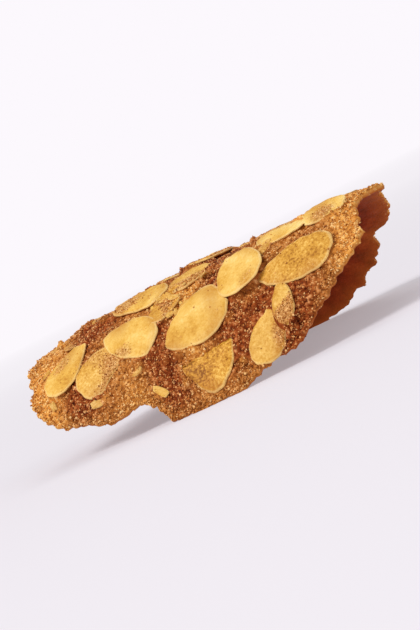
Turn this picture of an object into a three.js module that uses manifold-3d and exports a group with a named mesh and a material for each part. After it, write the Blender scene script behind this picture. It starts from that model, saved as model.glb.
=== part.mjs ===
// Almond tuile: a thin, crisp biscuit disc that was bent over a round bar while hot, so that it
// stands like a roof tile, with toasted almond flakes baked into its outer face.
// The ridge runs along X, the outer face is up, and the two long rims rest on the plane z = 0.
// Millimetres.

import * as THREE from "three";
import { mergeVertices } from "three/addons/utils/BufferGeometryUtils.js";
import Module from "manifold-3d";

// Flat disc before bending: u runs along the ridge, v across it
const RIDGE_REACH = 45.0; // half length along the ridge
const SIDE_REACH = 43.5; // half length across the ridge
const MIDDLE_THICKNESS = 2.3;
const RIM_THICKNESS = 1.3;
const RIM_TAPER = 0.3; // outer share of the radius over which the disc thins
const RIM_BULGE = 0.25; // how far the middle of the rim stands out

// Bend
const BAR_RADIUS = 32.0; // of the bar under the ridge, half way along
const BAR_CONE = 0.1; // share by which the bend opens towards the +X end
const WRAP_ANGLE = 1.0; // where the sides leave the bar and run on straight, in radians
const LEFT_DROOP = 2.2; // how far the ridge hangs down at RIDGE_REACH from its top, towards -X
const RIGHT_DROOP = 1.2; // the same, towards +X
const RIDGE_TOP = 8.0; // where along the ridge its top is
const PRESS = { depth: 1.9, u: 21, length: 15, width: 8.5 }; // flattened spot of the ridge
const FOOT_CUT = 0.8; // depth of the flat spots that the rims stand on

// Lattice of the disc
const RINGS = 17; // ring k holds 6 k points
const RIM_POINTS = 240;

// Lobes and inlets of the rim: angle from +X in degrees, reach outward and spread in degrees
const RIM_FEATURES = [
  { angle: 358, reach: 2.6, spread: 4 },
  { angle: 335, reach: 1.6, spread: 6 },
  { angle: 327, reach: 5.0, spread: 9 },
  { angle: 305, reach: 2.6, spread: 13 },
  { angle: 274, reach: 2.2, spread: 16 },
  { angle: 248, reach: -3.6, spread: 9 },
  { angle: 213, reach: 5.0, spread: 12 },
  { angle: 192, reach: 2.4, spread: 9 },
  { angle: 150, reach: 2.4, spread: 13 },
  { angle: 126, reach: -2.4, spread: 9 },
  { angle: 80, reach: 2.4, spread: 20 },
  { angle: 51, reach: 2.8, spread: 9 },
  { angle: 37, reach: -3.0, spread: 4 },
  { angle: 25, reach: 1.2, spread: 9 },
];
const RIM_RIPPLES = { from: 9, to: 58, height: 1.9, fading: 0.8 }; // waves around the rim, by number
const LUMPS = { count: 9, shortest: 7, longest: 17, height: 0.38, seed: 700 }; // of the outer face
const WARP = { count: 4, shortest: 40, longest: 75, height: 0.7, seed: 500 }; // of the whole sheet

// Almond flakes
const FLAKE_THICKNESS = 1.1;
const FLAKE_SINK = 0.5; // how deep a flake sits in the biscuit
const FLAKE_BEARING = 0.3; // share of its length and width, from the middle, at which it bears
const FLAKE_TAPER = 0.24; // how much narrower the pointed half is
const FLAKE_SIDES = 16;
const FLAKE_BEVEL = 0.3;
const FLAKE_CLEARANCE = 9.5; // least distance between the middles of two flakes on one level
const FLAKE_LENGTHS = [13, 19];
const FLAKE_SLENDERNESS = [0.56, 0.74]; // width over length
const FLAKE_BROKEN_SHARE = 0.3; // of the scattered flakes
const FLAKE_MARGIN = 8; // from a flake's middle to the rim
const FLAKE_TRIES = 90;
const FLAKE_FROM = 0; // the scattered flakes lie on the back half, at least this far from the ridge
const FLAKE_TILT = 0.1; // largest tilt of a flake against the face, in radians
const FLAKE_LIFT = 0.4; // most that a scattered flake is raised
const FLAKE_BREAK = 0.3; // share of its length that a broken scattered flake has lost
const SEEDS = {
  front: 900,
  angle: 1000,
  length: 1100,
  width: 1200,
  turn: 1300,
  lift: 1400,
  cut: 1500,
  tilt: 1600,
};

// Flakes on the outer face's front half, by their middles. turn is the angle of the pointed end
// from +X in degrees, lift raises a flake that lies on another, cut breaks off that share of its
// pointed end or, below 0, of its round end.
const FRONT_FLAKES = [
  { u: 28.6, v: -23.4, length: 19.4, width: 9.8, turn: 180, lift: 0.3, cut: 0 },
  { u: 14.9, v: -18.5, length: 14.5, width: 12.2, turn: 90, lift: 1.0, cut: 0.1 },
  { u: 2.5, v: -25.3, length: 18.5, width: 12.8, turn: 204, lift: 0.5, cut: 0 },
  { u: 3.4, v: -34.5, length: 17.4, width: 13.2, turn: 277, lift: 0, cut: -0.45 },
  { u: 23.6, v: -31.2, length: 10.6, width: 5.4, turn: 84, lift: 0.5, cut: 0 },
  { u: 18, v: -36, length: 13, width: 8.5, turn: 70, lift: 0, cut: 0 },
  { u: 25.5, v: -11.8, length: 14, width: 7.5, turn: 346, lift: 0, cut: 0 },
  { u: 35.6, v: -12.2, length: 12.5, width: 8, turn: 190, lift: 0.5, cut: 0.15 },
  { u: 0, v: -9.5, length: 13.5, width: 9, turn: 20, lift: 0, cut: 0 },
  { u: -12.5, v: -9.5, length: 16, width: 9.5, turn: 172, lift: 0.3, cut: 0 },
  { u: -6, v: -17.5, length: 9, width: 6.5, turn: 60, lift: 0.1, cut: 0.3 },
  { u: -14.5, v: -21, length: 16.5, width: 10.5, turn: 150, lift: 0.5, cut: 0 },
  { u: -23.5, v: -24, length: 15, width: 10, turn: 28, lift: 0, cut: 0 },
  { u: -33, v: -18.5, length: 15, width: 9.5, turn: 37, lift: 0.3, cut: 0 },
];

const FULL_TURN = 2 * Math.PI;
const GOLDEN_ANGLE = Math.PI * (3 - Math.sqrt(5));

// A repeatable draw between 0 and 1 for each whole number
function chance(n) {
  const wave = Math.sin(n * 127.1 + 311.7) * 43758.5453;
  return wave - Math.floor(wave);
}

function between([low, high], share) {
  return low + (high - low) * share;
}

function smoothStep(low, high, x) {
  const t = Math.min(1, Math.max(0, (x - low) / (high - low)));
  return t * t * (3 - 2 * t);
}

// Height of a field of plane waves at (u, v), with lengths and headings drawn from seed on
function waves({ count, shortest, longest, height, seed }, u, v) {
  let sum = 0;
  for (let i = 0; i < count; i++) {
    const heading = FULL_TURN * chance(seed + 3 * i);
    const length = between([shortest, longest], chance(seed + 3 * i + 1));
    const along = u * Math.cos(heading) + v * Math.sin(heading);
    sum += Math.sin((FULL_TURN * along) / length + FULL_TURN * chance(seed + 3 * i + 2));
  }
  return (height * sum) / Math.sqrt(count);
}

// Distance from the middle of the flat disc to its uneven rim
function rimRadius(theta) {
  let r = 1 / Math.hypot(Math.cos(theta) / RIDGE_REACH, Math.sin(theta) / SIDE_REACH);
  for (const { angle, reach, spread } of RIM_FEATURES) {
    const turn = THREE.MathUtils.radToDeg(theta) - angle;
    const away = THREE.MathUtils.euclideanModulo(turn + 180, 360) - 180;
    r += reach * Math.exp(-((away / spread) ** 2));
  }
  const { from, to, height, fading } = RIM_RIPPLES;
  for (let k = from; k <= to; k++) {
    r += height * k ** -fading * chance(k) * Math.sin(k * theta + FULL_TURN * chance(k + 100));
  }
  return r;
}

// Point of the bent sheet's middle surface for (u, v) of the flat disc
function bentPoint(u, v) {
  const radius = BAR_RADIUS * (1 + (BAR_CONE * u) / RIDGE_REACH);
  const wrapped = Math.min(Math.abs(v) / radius, WRAP_ANGLE);
  const free = Math.abs(v) - wrapped * radius;
  const y = radius * Math.sin(wrapped) + free * Math.cos(wrapped);
  const drop = radius * (1 - Math.cos(wrapped)) + free * Math.sin(wrapped);
  const fall = u < RIDGE_TOP ? LEFT_DROOP : RIGHT_DROOP;
  const droop = fall * ((u - RIDGE_TOP) / RIDGE_REACH) ** 2;
  const away = ((u - PRESS.u) / PRESS.length) ** 2 + (v / PRESS.width) ** 2;
  const fallen = drop + droop + PRESS.depth * Math.exp(-away);
  return new THREE.Vector3(u, Math.sign(v) * y, waves(WARP, u, v) - fallen);
}

// Frame of the bent sheet at (u, v): along the ridge, across it and out of the outer face
function bentFrame(u, v) {
  const step = 0.01;
  const along = bentPoint(u + step, v).sub(bentPoint(u - step, v)).normalize();
  const across = bentPoint(u, v + step).sub(bentPoint(u, v - step)).normalize();
  const out = new THREE.Vector3().crossVectors(along, across).normalize();
  return { along, across: new THREE.Vector3().crossVectors(out, along), out };
}

// 0 over the middle of the disc, rising to 1 at the thin rim
function thinning(u, v) {
  const share = Math.hypot(u, v) / rimRadius(Math.atan2(v, u));
  return smoothStep(1 - RIM_TAPER, 1, share);
}

function halfThickness(u, v) {
  return (MIDDLE_THICKNESS + (RIM_THICKNESS - MIDDLE_THICKNESS) * thinning(u, v)) / 2;
}

// Height of the lumpy outer face above the sheet's middle surface
function faceHeight(u, v) {
  return halfThickness(u, v) + waves(LUMPS, u, v) * (1 - thinning(u, v));
}

// Rings of (u, v), from the middle of the disc out to its rim
function discRings() {
  const rings = [[{ u: 0, v: 0 }]];
  for (let k = 1; k <= RINGS; k++) {
    const count = k === RINGS ? RIM_POINTS : 6 * k;
    const ring = [];
    for (let i = 0; i < count; i++) {
      const theta = (FULL_TURN * i) / count;
      const r = (rimRadius(theta) * k) / RINGS;
      ring.push({ u: r * Math.cos(theta), v: r * Math.sin(theta) });
    }
    rings.push(ring);
  }
  return rings;
}

// Triangles between two closed rings of points whose first indices and counts are given
function zipRings(inner, innerCount, outer, outerCount) {
  const triangles = [];
  let i = 0;
  let j = 0;
  while (i < innerCount || j < outerCount) {
    const stepOuter = j < outerCount && (i >= innerCount || (j + 1) / outerCount <= (i + 1) / innerCount);
    const a = inner + (i % innerCount);
    const b = outer + (j % outerCount);
    if (stepOuter) {
      triangles.push([a, b, outer + ((j + 1) % outerCount)]);
      j++;
    } else {
      triangles.push([a, b, inner + ((i + 1) % innerCount)]);
      i++;
    }
  }
  return triangles.filter(([a, b, c]) => a !== b && b !== c && c !== a);
}

// Triangles of one face, whose rings are stored one after another from index first on
function faceTriangles(rings, first) {
  const triangles = [];
  let inner = first;
  for (let k = 1; k < rings.length; k++) {
    const outer = inner + rings[k - 1].length;
    triangles.push(...zipRings(inner, rings[k - 1].length, outer, rings[k].length));
    inner = outer;
  }
  return triangles;
}

function closedGeometry(points, triangles) {
  const geometry = new THREE.BufferGeometry().setFromPoints(points);
  geometry.setIndex(triangles.flat());
  return geometry;
}

// The baked sheet: a lumpy outer face, a plain inner face and a slightly bulging rim
function biscuitGeometry() {
  const rings = discRings();
  const outerFace = [];
  const innerFace = [];
  for (const { u, v } of rings.flat()) {
    const { out } = bentFrame(u, v);
    outerFace.push(bentPoint(u, v).addScaledVector(out, faceHeight(u, v)));
    innerFace.push(bentPoint(u, v).addScaledVector(out, -halfThickness(u, v)));
  }
  const rim = [];
  for (const { u, v } of rings.at(-1)) {
    const grow = 1 + RIM_BULGE / Math.hypot(u, v);
    rim.push(bentPoint(u * grow, v * grow));
  }
  const innerStart = outerFace.length;
  const rimStart = innerStart + innerFace.length;
  const outerRim = innerStart - RIM_POINTS;
  const innerRim = rimStart - RIM_POINTS;
  const triangles = [
    ...faceTriangles(rings, 0),
    ...faceTriangles(rings, innerStart).map(([a, b, c]) => [a, c, b]),
    ...zipRings(outerRim, RIM_POINTS, rimStart, RIM_POINTS),
    ...zipRings(rimStart, RIM_POINTS, innerRim, RIM_POINTS),
  ];
  return closedGeometry([...outerFace, ...innerFace, ...rim], triangles);
}

// Outline of an almond slice in its own plane: round at one end, pointed at +X, broken off past the cut
function flakeShape({ length, width, cut }) {
  const end = length * (0.5 - Math.abs(cut));
  const points = [];
  for (let i = 0; i < FLAKE_SIDES; i++) {
    const t = (FULL_TURN * (i + 0.5)) / FLAKE_SIDES;
    const x = (length / 2) * Math.cos(t);
    const y = (width / 2) * Math.sin(t) * (1 - FLAKE_TAPER * Math.cos(t));
    points.push(new THREE.Vector2(cut < 0 ? Math.max(x, -end) : Math.min(x, end), y));
  }
  return new THREE.Shape(points);
}

// Height at which a flat flake rests on the highest spots of the bent face beneath it
function seatHeight({ u, v, length, width, turn }) {
  const spots = [new THREE.Vector2()];
  for (const side of [-1, 1]) {
    spots.push(new THREE.Vector2(side * FLAKE_BEARING * length, 0));
    spots.push(new THREE.Vector2(0, side * FLAKE_BEARING * width));
  }
  const heights = spots.map((spot) => {
    spot.rotateAround(new THREE.Vector2(), THREE.MathUtils.degToRad(turn));
    return faceHeight(u + spot.x, v + spot.y) - spot.y ** 2 / (2 * BAR_RADIUS);
  });
  return Math.max(...heights);
}

// A flake lying in the outer face with its middle at (u, v)
function flakeGeometry(flake) {
  const geometry = new THREE.ExtrudeGeometry(flakeShape(flake), {
    depth: FLAKE_THICKNESS - FLAKE_BEVEL,
    bevelEnabled: true,
    bevelThickness: FLAKE_BEVEL / 2,
    bevelSize: FLAKE_BEVEL,
    bevelOffset: -FLAKE_BEVEL,
    bevelSegments: 1,
  });
  const { along, across, out } = bentFrame(flake.u, flake.v);
  const seatLevel = seatHeight(flake) - FLAKE_SINK + flake.lift;
  const middle = bentPoint(flake.u, flake.v).addScaledVector(out, seatLevel);
  const turned = new THREE.Matrix4().makeRotationZ(THREE.MathUtils.degToRad(flake.turn));
  const tilted = new THREE.Matrix4().makeRotationX(flake.tilt);
  const seat = new THREE.Matrix4().makeBasis(along, across, out).setPosition(middle);
  return geometry.applyMatrix4(seat.multiply(turned).multiply(tilted));
}

// The flakes of the front half, then more on the back half by a spiral rule, wherever there is room
function allFlakes() {
  const tilt = (n) => FLAKE_TILT * (2 * chance(n) - 1);
  const flakes = FRONT_FLAKES.map((flake, i) => ({ ...flake, tilt: tilt(SEEDS.front + i) }));
  for (let i = 0; i < FLAKE_TRIES; i++) {
    const theta = i * GOLDEN_ANGLE + chance(SEEDS.angle + i);
    const r = Math.sqrt((i + 0.5) / FLAKE_TRIES) * (rimRadius(theta) - FLAKE_MARGIN);
    const u = r * Math.cos(theta);
    const v = r * Math.sin(theta);
    const crowded = flakes.some((f) => Math.hypot(f.u - u, f.v - v) < FLAKE_CLEARANCE);
    if (crowded || v < FLAKE_FROM) continue;
    const length = between(FLAKE_LENGTHS, chance(SEEDS.length + i));
    flakes.push({
      u,
      v,
      length,
      width: length * between(FLAKE_SLENDERNESS, chance(SEEDS.width + i)),
      turn: 360 * chance(SEEDS.turn + i),
      lift: FLAKE_LIFT * chance(SEEDS.lift + i),
      cut: chance(SEEDS.cut + i) < FLAKE_BROKEN_SHARE ? FLAKE_BREAK : 0,
      tilt: tilt(SEEDS.tilt + i),
    });
  }
  return flakes;
}

const wasm = await Module();
wasm.setup();

function solidOf(geometry) {
  const bare = new THREE.BufferGeometry().setAttribute("position", geometry.getAttribute("position"));
  bare.setIndex(geometry.getIndex());
  const merged = mergeVertices(bare, 1e-4);
  return new wasm.Manifold(
    new wasm.Mesh({
      numProp: 3,
      vertProperties: merged.getAttribute("position").array,
      triVerts: new Uint32Array(merged.getIndex().array),
    }),
  );
}

function geometryOf(solid) {
  const mesh = solid.getMesh();
  const geometry = new THREE.BufferGeometry();
  geometry.setAttribute("position", new THREE.BufferAttribute(mesh.vertProperties, 3));
  geometry.setIndex(new THREE.BufferAttribute(mesh.triVerts, 1));
  geometry.computeVertexNormals();
  return geometry;
}

// The outer skin of a union, without the pockets that it closed off
function outerSkin(solid) {
  return solid.decompose().reduce((most, body) => (body.volume() > most.volume() ? body : most));
}

// Turns a geometry about X until the lowest points of its two long rims are level, and sets them
// FOOT_CUT below z = 0
function standOnRims(geometry) {
  const position = geometry.getAttribute("position");
  const lowest = [new THREE.Vector3(), new THREE.Vector3()];
  for (let i = 0; i < position.count; i++) {
    const point = new THREE.Vector3().fromBufferAttribute(position, i);
    const side = point.y < 0 ? 0 : 1;
    if (point.z < lowest[side].z) lowest[side] = point;
  }
  const [front, back] = lowest;
  geometry.rotateX(-Math.atan2(back.z - front.z, back.y - front.y));
  geometry.computeBoundingBox();
  const { min, max } = geometry.boundingBox;
  return geometry.translate(-(min.x + max.x) / 2, -(min.y + max.y) / 2, -min.z - FOOT_CUT);
}

// The solid above z = 0
function cutFeet(solid) {
  const size = 4 * RIDGE_REACH;
  const below = new THREE.BoxGeometry(size, size, size).translate(0, 0, -size / 2);
  return solid.subtract(solidOf(below));
}

function tuile() {
  let solid = solidOf(biscuitGeometry());
  for (const flake of allFlakes()) {
    solid = solid.add(solidOf(flakeGeometry(flake)));
  }
  const standing = standOnRims(geometryOf(outerSkin(solid)));
  const mesh = new THREE.Mesh(
    geometryOf(outerSkin(cutFeet(solidOf(standing)))),
    new THREE.MeshStandardMaterial({ color: 0xb5703a, roughness: 0.7, metalness: 0 }),
  );
  mesh.name = "tuile";
  return mesh;
}

const group = new THREE.Group();
group.add(tuile());

export default group;
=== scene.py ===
"""Looks of the almond tuile: a granular crust with sugar crystals, toasted almond flakes and splinters.

The form is worked out from the same named sizes as the solid, in millimetres, and is then stood up
in the solid's frame, in metres.
"""

import math

import bpy
import numpy as np
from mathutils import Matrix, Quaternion, Vector


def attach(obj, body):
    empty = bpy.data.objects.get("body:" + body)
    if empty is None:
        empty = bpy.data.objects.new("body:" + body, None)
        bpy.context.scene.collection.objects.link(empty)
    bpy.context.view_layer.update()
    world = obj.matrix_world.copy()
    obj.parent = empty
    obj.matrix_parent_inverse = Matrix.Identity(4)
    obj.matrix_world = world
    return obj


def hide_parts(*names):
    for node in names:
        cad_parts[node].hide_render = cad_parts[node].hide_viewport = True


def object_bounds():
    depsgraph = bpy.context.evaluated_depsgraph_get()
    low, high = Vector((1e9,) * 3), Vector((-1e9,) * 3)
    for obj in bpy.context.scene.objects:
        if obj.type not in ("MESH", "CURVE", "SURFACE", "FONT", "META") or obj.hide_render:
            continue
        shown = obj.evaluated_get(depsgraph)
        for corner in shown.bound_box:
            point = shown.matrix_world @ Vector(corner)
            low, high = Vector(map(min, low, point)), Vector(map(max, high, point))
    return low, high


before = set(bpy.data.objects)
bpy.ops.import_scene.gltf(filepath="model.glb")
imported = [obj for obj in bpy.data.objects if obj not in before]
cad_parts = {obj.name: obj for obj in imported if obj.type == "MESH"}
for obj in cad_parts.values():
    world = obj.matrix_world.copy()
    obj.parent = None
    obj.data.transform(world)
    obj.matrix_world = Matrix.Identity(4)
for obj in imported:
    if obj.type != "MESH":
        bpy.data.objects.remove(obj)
cad_low, cad_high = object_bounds()

# Flat disc before bending: u runs along the ridge, v across it
RIDGE_REACH = 45.0
SIDE_REACH = 43.5
MIDDLE_THICKNESS = 2.3
RIM_THICKNESS = 1.3
RIM_TAPER = 0.3
RIM_BULGE = 0.25

# Bend
BAR_RADIUS = 32.0
BAR_CONE = 0.1
WRAP_ANGLE = 1.0
LEFT_DROOP = 2.2
RIGHT_DROOP = 1.2
RIDGE_TOP = 8.0
PRESS = dict(depth=1.9, u=21, length=15, width=8.5)  # flattened spot of the ridge
STAND_TURN = -0.008257
STAND_SHIFT = (-0.3174, 0.2532, 25.8501)

# Lobes and inlets of the rim: angle in degrees, reach outward and spread in degrees
RIM_FEATURES = (
    (358, 2.6, 4),
    (335, 1.6, 6),
    (327, 5.0, 9),
    (305, 2.6, 13),
    (274, 2.2, 16),
    (248, -3.6, 9),
    (213, 5.0, 12),
    (192, 2.4, 9),
    (150, 2.4, 13),
    (126, -2.4, 9),
    (80, 2.4, 20),
    (51, 2.8, 9),
    (37, -3.0, 4),
    (25, 1.2, 9),
)
RIM_RIPPLES = dict(first=9, last=58, height=1.9, fading=0.8)
LUMPS = dict(count=9, shortest=7, longest=17, height=0.38, seed=700)
WARP = dict(count=4, shortest=40, longest=75, height=0.7, seed=500)

# Almond flakes
FLAKE_THICKNESS = 1.1
FLAKE_BODY = 1.0
FLAKE_SINK = 0.5
FLAKE_BEARING = 0.3
FLAKE_TAPER = 0.24
FLAKE_BEVEL = 0.3
FLAKE_CLEARANCE = 9.5
FLAKE_LENGTHS = (13, 19)
FLAKE_SLENDERNESS = (0.56, 0.74)
FLAKE_BROKEN_SHARE = 0.3
FLAKE_MARGIN = 8
FLAKE_TRIES = 90
FLAKE_FROM = 0
FLAKE_TILT = 0.1
FLAKE_LIFT = 0.4
FLAKE_BREAK = 0.3
FLAKE_TIP = 0.3
FLAKE_STEEPEST = 0.3
FLAKE_SIDES = 88
FLAKE_ROWS = 9
BACK_COAT = 0.7
LOOK_SEEDS = dict(tone=40.5, coat=60.5)
SEEDS = dict(front=900, angle=1000, length=1100, width=1200, turn=1300, lift=1400, cut=1500, tilt=1600)

# Flakes of the front half: u, v, length, width, turn, lift, cut (below 0 at the round end), tone, coat
FRONT_FLAKES = (
    (28.6, -23.4, 19.4, 9.8, 180, 0.3, 0, 0.25, 0.0),
    (14.9, -18.5, 14.5, 12.2, 90, 1.0, 0.1, 0.78, -0.15),
    (2.5, -25.3, 18.5, 12.8, 204, 0.5, 0, 0.75, 0.1),
    (3.4, -34.5, 17.4, 13.2, 277, 0, -0.45, 0.05, 0.1),
    (23.6, -31.2, 10.6, 5.4, 84, 0.5, 0, 0.55, 0.6),
    (18, -36, 13, 8.5, 70, 0, 0, 0.5, 0.3),
    (25.5, -11.8, 14, 7.5, 346, 0, 0, 1.0, -0.1),
    (35.6, -12.2, 12.5, 8, 190, 0.5, 0.15, 0.95, -0.1),
    (0, -9.5, 13.5, 9, 20, 0, 0, 0.5, 0.45),
    (-12.5, -9.5, 16, 9.5, 172, 0.3, 0, 0.85, 0.15),
    (-6, -17.5, 9, 6.5, 60, 0.1, 0.3, 0.5, 0.6),
    (-14.5, -21, 16.5, 10.5, 150, 0.5, 0, 0.8, 0.1),
    (-23.5, -24, 15, 10, 28, 0, 0, 0.4, 0.45),
    (-33, -18.5, 15, 9.5, 37, 0.3, 0, 0.8, 0.05),
)

# Detail that only the rendered model has
RANDOM_SEED = 11
RING_STEP = 6
OUTER_RINGS = 164
INNER_RINGS = 64
CRUMBLE = dict(count=40, lowest=40, highest=160, height=0.2, seed=2000)
CLUMPS = dict(count=16, shortest=2.2, longest=5.5, height=0.13, seed=2200)
PITS = dict(count=14, shortest=2.5, longest=7, height=0.07, seed=2400)
BROWNING = dict(count=10, shortest=11, longest=26, height=0.34, seed=2600)
COATING = dict(count=10, shortest=9, longest=22, height=0.5, seed=2800)
TOASTING = dict(count=8, shortest=6, longest=15, height=0.4, seed=3000)
CRUMBS = 90
CRUMB_RADII = (0.9, 2.3)
CRUMB_HEIGHTS = (0.3, 0.9)
CRUMB_REACH = 0.96
GRAIN_CELL = 0.8
GRAIN_RADII = (0.4, 0.7)
GRAIN_HEIGHTS = (0.08, 0.4)
GRAIN_JITTER = 0.8
GRAIN_SINK = 0.1
CRYSTALS = 21500
RIM_CRYSTALS = 2700
FLAKE_CRYSTALS = 700
CRYSTAL_RADII = (0.13, 0.34)
CRYSTAL_STRETCH = (0.65, 1.35)
CRYSTAL_TRIES = 3
CRYSTAL_CLEARING = 1.2
RIM_CRYSTAL_PLACES = (-0.5, 0.1)
RIM_CRYSTAL_HEIGHTS = (-0.6, 0.7)
STRAY_SHARE = 0.015
FLAKE_CRYSTAL_SIZE = 0.75
FLAKE_CRYSTAL_REACH = 0.98
FLAKE_CRYSTAL_GOLDEN = (0.3, 0.8)

# Splinters anywhere on the crust, and bits of the same kind together at one spot
SPLINTERS = 16
SPLINTER_LENGTHS = (2.6, 6)
SPLINTER_SLIMNESS = (0.26, 0.5)
SPLINTER_BODY = 0.6
SPLINTER_CUTS = (0.14, 0.1)
SPLINTER_TILT = 0.2
SPLINTER_LEAN = 0.25
SPLINTER_MARGIN = 3
SPLINTER_SEAT = 0.12
SPLINTER_COAT = 0.8
SPLINTER_TOAST = 0.6
SPLINTER_SIDES = 28
SPLINTER_ROWS = 5
SPLINTER_NUMBER = 300
BITS = 22
BITS_SPOT = (-4.5, -16)
BITS_SPREAD = 4.6
BITS_SEAT = 0.35
BITS_COAT = 0.3

# Crust that rises round a flake, with heights in millimetres and places in shares of the flake's reach
FLAKE_BURIAL = 0.6
BANK = dict(search=0.75, start=0.98, sway=0.12, swell=0.18, slope=0.22, overlap=0.25, highest=2.2)
BURIED = dict(low=-0.2, high=0.7, turn=2.1, inner=0.78, outer=0.98)
COVER = dict(edge=1.04, buried=0.08, slope=0.07, smoothing=0.85)

# Uneven edge, curl and coat of a slice
FLAKE_SAG = 0.5
SLICE_WAVES = ((2, 0.03), (3, 0.025), (5, 0.014), (8, 0.01), (13, 0.008))
SLICE_CHIP = dict(depth=0.16, spared=0.4, width=0.3)
SLICE_SLANT = (-0.3, 0.3)
SLICE_TEARS = ((0.12, 2.3), (0.06, 5.7))
SLICE_CURL = (-0.25, 0.5)
SLICE_TWIST = (-0.35, 0.35)
SLICE_RIPPLE = dict(height=0.07, along=1.7, across=1.3)
SLICE_ROUNDING = 7
SLICE_CROWDING = 2.2
COAT = dict(low=0.3, high=0.75, edge=0.7, inner=0.86, outer=0.98)
TOAST = dict(low=0.2, high=1, edge=0.6)

# How golden the crust is, from 0 for red-brown to 1 for golden: the browning of the bake, golden rim and
# ends, lighter spots, and painted shade that darkens the shaded spots
LIGHT_SPOTS = ((28, -14), (-5, -15))
PAINTED_SHADE_SPOTS = ((31, -33), (24, -38))
SPOT_SPREAD = 11
GOLDEN = dict(base=0.12, ends=0.75, light=0.6, dark=0.5, crumbs=0.5, rim=0.35)
GOLDEN_ENDS = (0.6, 0.88)
GOLDEN_RIM = (0.86, 1)

# Thinner edge of the outer face, and the values painted on the rim and in the pits of the inner face; the
# inner face's rim value spreads the painted glow of light through the thin rim
RIM_EASE = dict(start=0.9, share=0.25)
RIM_PAINT = dict(relief=0.6, inside=0.35, outer_power=10, inner_power=14)
RIM_FOCUS = 14
PIT_PAINT = dict(middle=0.5, gain=3)
PIT_FADING = 6

# Map that the looks can be baked to: middle and radius of each face of the crust, and share for slice tops
BAKE_MAP = "OFBake"
OUTER_PLACE = (0.365, 0.36)
INNER_PLACE = (0.8, 0.195)
MAP_REACH = 53
MAP_RIM = 1.3
TOPS_SHARE = 0.94
MAP_DOT = 0.002
MAP_MARGIN = (0.02, 0.98)
MAP_FILL = dict(top=0.96, low_length=0.9, low_width=0.8)

# Floor, light and camera, in metres, degrees and watts
BACKDROP_COLOUR = (252, 248, 253)
WORLD_STRENGTH = 0.36
FLOOR_RADIUS = 3.0
FLOOR_SIDES = 64
LIGHTS = (
    dict(name="key", azimuth=-38, elevation=48, distance=1.4, size=0.8, power=14.5),
    dict(name="fill", azimuth=60, elevation=30, distance=1.6, size=1.0, power=3.4),
    dict(name="rim", azimuth=170, elevation=55, distance=1.4, size=0.8, power=3.4),
)
VIEW_AZIMUTH = 20
VIEW_ELEVATION = 3
VIEW_ROLL = 27
VIEW_LENS = 100
VIEW_WIDTH = 0.097
VIEW_SHIFT = -0.022
VIEW_CLIP = (0.01, 20)
IMAGE_SIZE = (420, 630)

FULL_TURN = 2 * math.pi
GOLDEN_ANGLE = math.pi * (3 - math.sqrt(5))
MM = 0.001


def chance(n):
    """A repeatable draw between 0 and 1 for each whole number."""
    wave = np.sin(n * 127.1 + 311.7) * 43758.5453
    return wave - np.floor(wave)


def between(limits, share):
    return limits[0] + (limits[1] - limits[0]) * share


def smooth_step(low, high, x):
    t = np.clip((x - low) / (high - low), 0, 1)
    return t * t * (3 - 2 * t)


def waves(field, u, v):
    """Height of a field of plane waves at (u, v)."""
    total = 0.0
    seed = field["seed"]
    for i in range(field["count"]):
        heading = FULL_TURN * chance(seed + 3 * i)
        length = between((field["shortest"], field["longest"]), chance(seed + 3 * i + 1))
        along = u * np.cos(heading) + v * np.sin(heading)
        total = total + np.sin(FULL_TURN * along / length + FULL_TURN * chance(seed + 3 * i + 2))
    return field["height"] * total / math.sqrt(field["count"])


def rim_radius(theta):
    """Distance from the middle of the flat disc to its uneven rim."""
    r = 1 / np.hypot(np.cos(theta) / RIDGE_REACH, np.sin(theta) / SIDE_REACH)
    for angle, reach, spread in RIM_FEATURES:
        away = (np.degrees(theta) - angle + 180) % 360 - 180
        r = r + reach * np.exp(-((away / spread) ** 2))
    for k in range(RIM_RIPPLES["first"], RIM_RIPPLES["last"] + 1):
        height = RIM_RIPPLES["height"] * k ** -RIM_RIPPLES["fading"] * chance(k)
        r = r + height * np.sin(k * theta + FULL_TURN * chance(k + 100))
    return r


def crumble(theta):
    """Fine raggedness of the rim."""
    total = 0.0
    seed = CRUMBLE["seed"]
    for i in range(CRUMBLE["count"]):
        k = round(between((CRUMBLE["lowest"], CRUMBLE["highest"]), chance(seed + 2 * i)))
        total = total + np.sin(k * theta + FULL_TURN * chance(seed + 2 * i + 1))
    return CRUMBLE["height"] * total / math.sqrt(CRUMBLE["count"] / 2)


def bent_point(u, v):
    """Point of the bent sheet's middle surface for (u, v) of the flat disc."""
    radius = BAR_RADIUS * (1 + BAR_CONE * u / RIDGE_REACH)
    wrapped = np.minimum(np.abs(v) / radius, WRAP_ANGLE)
    free = np.abs(v) - wrapped * radius
    y = radius * np.sin(wrapped) + free * np.cos(wrapped)
    drop = radius * (1 - np.cos(wrapped)) + free * np.sin(wrapped)
    fall = np.where(u < RIDGE_TOP, LEFT_DROOP, RIGHT_DROOP)
    droop = fall * ((u - RIDGE_TOP) / RIDGE_REACH) ** 2
    away = ((u - PRESS["u"]) / PRESS["length"]) ** 2 + (v / PRESS["width"]) ** 2
    fallen = drop + droop + PRESS["depth"] * np.exp(-away)
    return np.stack(np.broadcast_arrays(u, np.sign(v) * y, waves(WARP, u, v) - fallen), -1)


def unit(a):
    return a / np.linalg.norm(a, axis=-1, keepdims=True)


def bent_frame(u, v):
    """Directions along the ridge, across it and out of the outer face, at (u, v)."""
    step = 0.01
    along = unit(bent_point(u + step, v) - bent_point(u - step, v))
    across = unit(bent_point(u, v + step) - bent_point(u, v - step))
    out = unit(np.cross(along, across))
    return along, np.cross(out, along), out


def thinning(u, v):
    """0 over the middle of the disc, rising to 1 at the thin rim."""
    share = np.hypot(u, v) / rim_radius(np.arctan2(v, u))
    return smooth_step(1 - RIM_TAPER, 1, share)


def half_thickness(u, v):
    return (MIDDLE_THICKNESS + (RIM_THICKNESS - MIDDLE_THICKNESS) * thinning(u, v)) / 2


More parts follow.
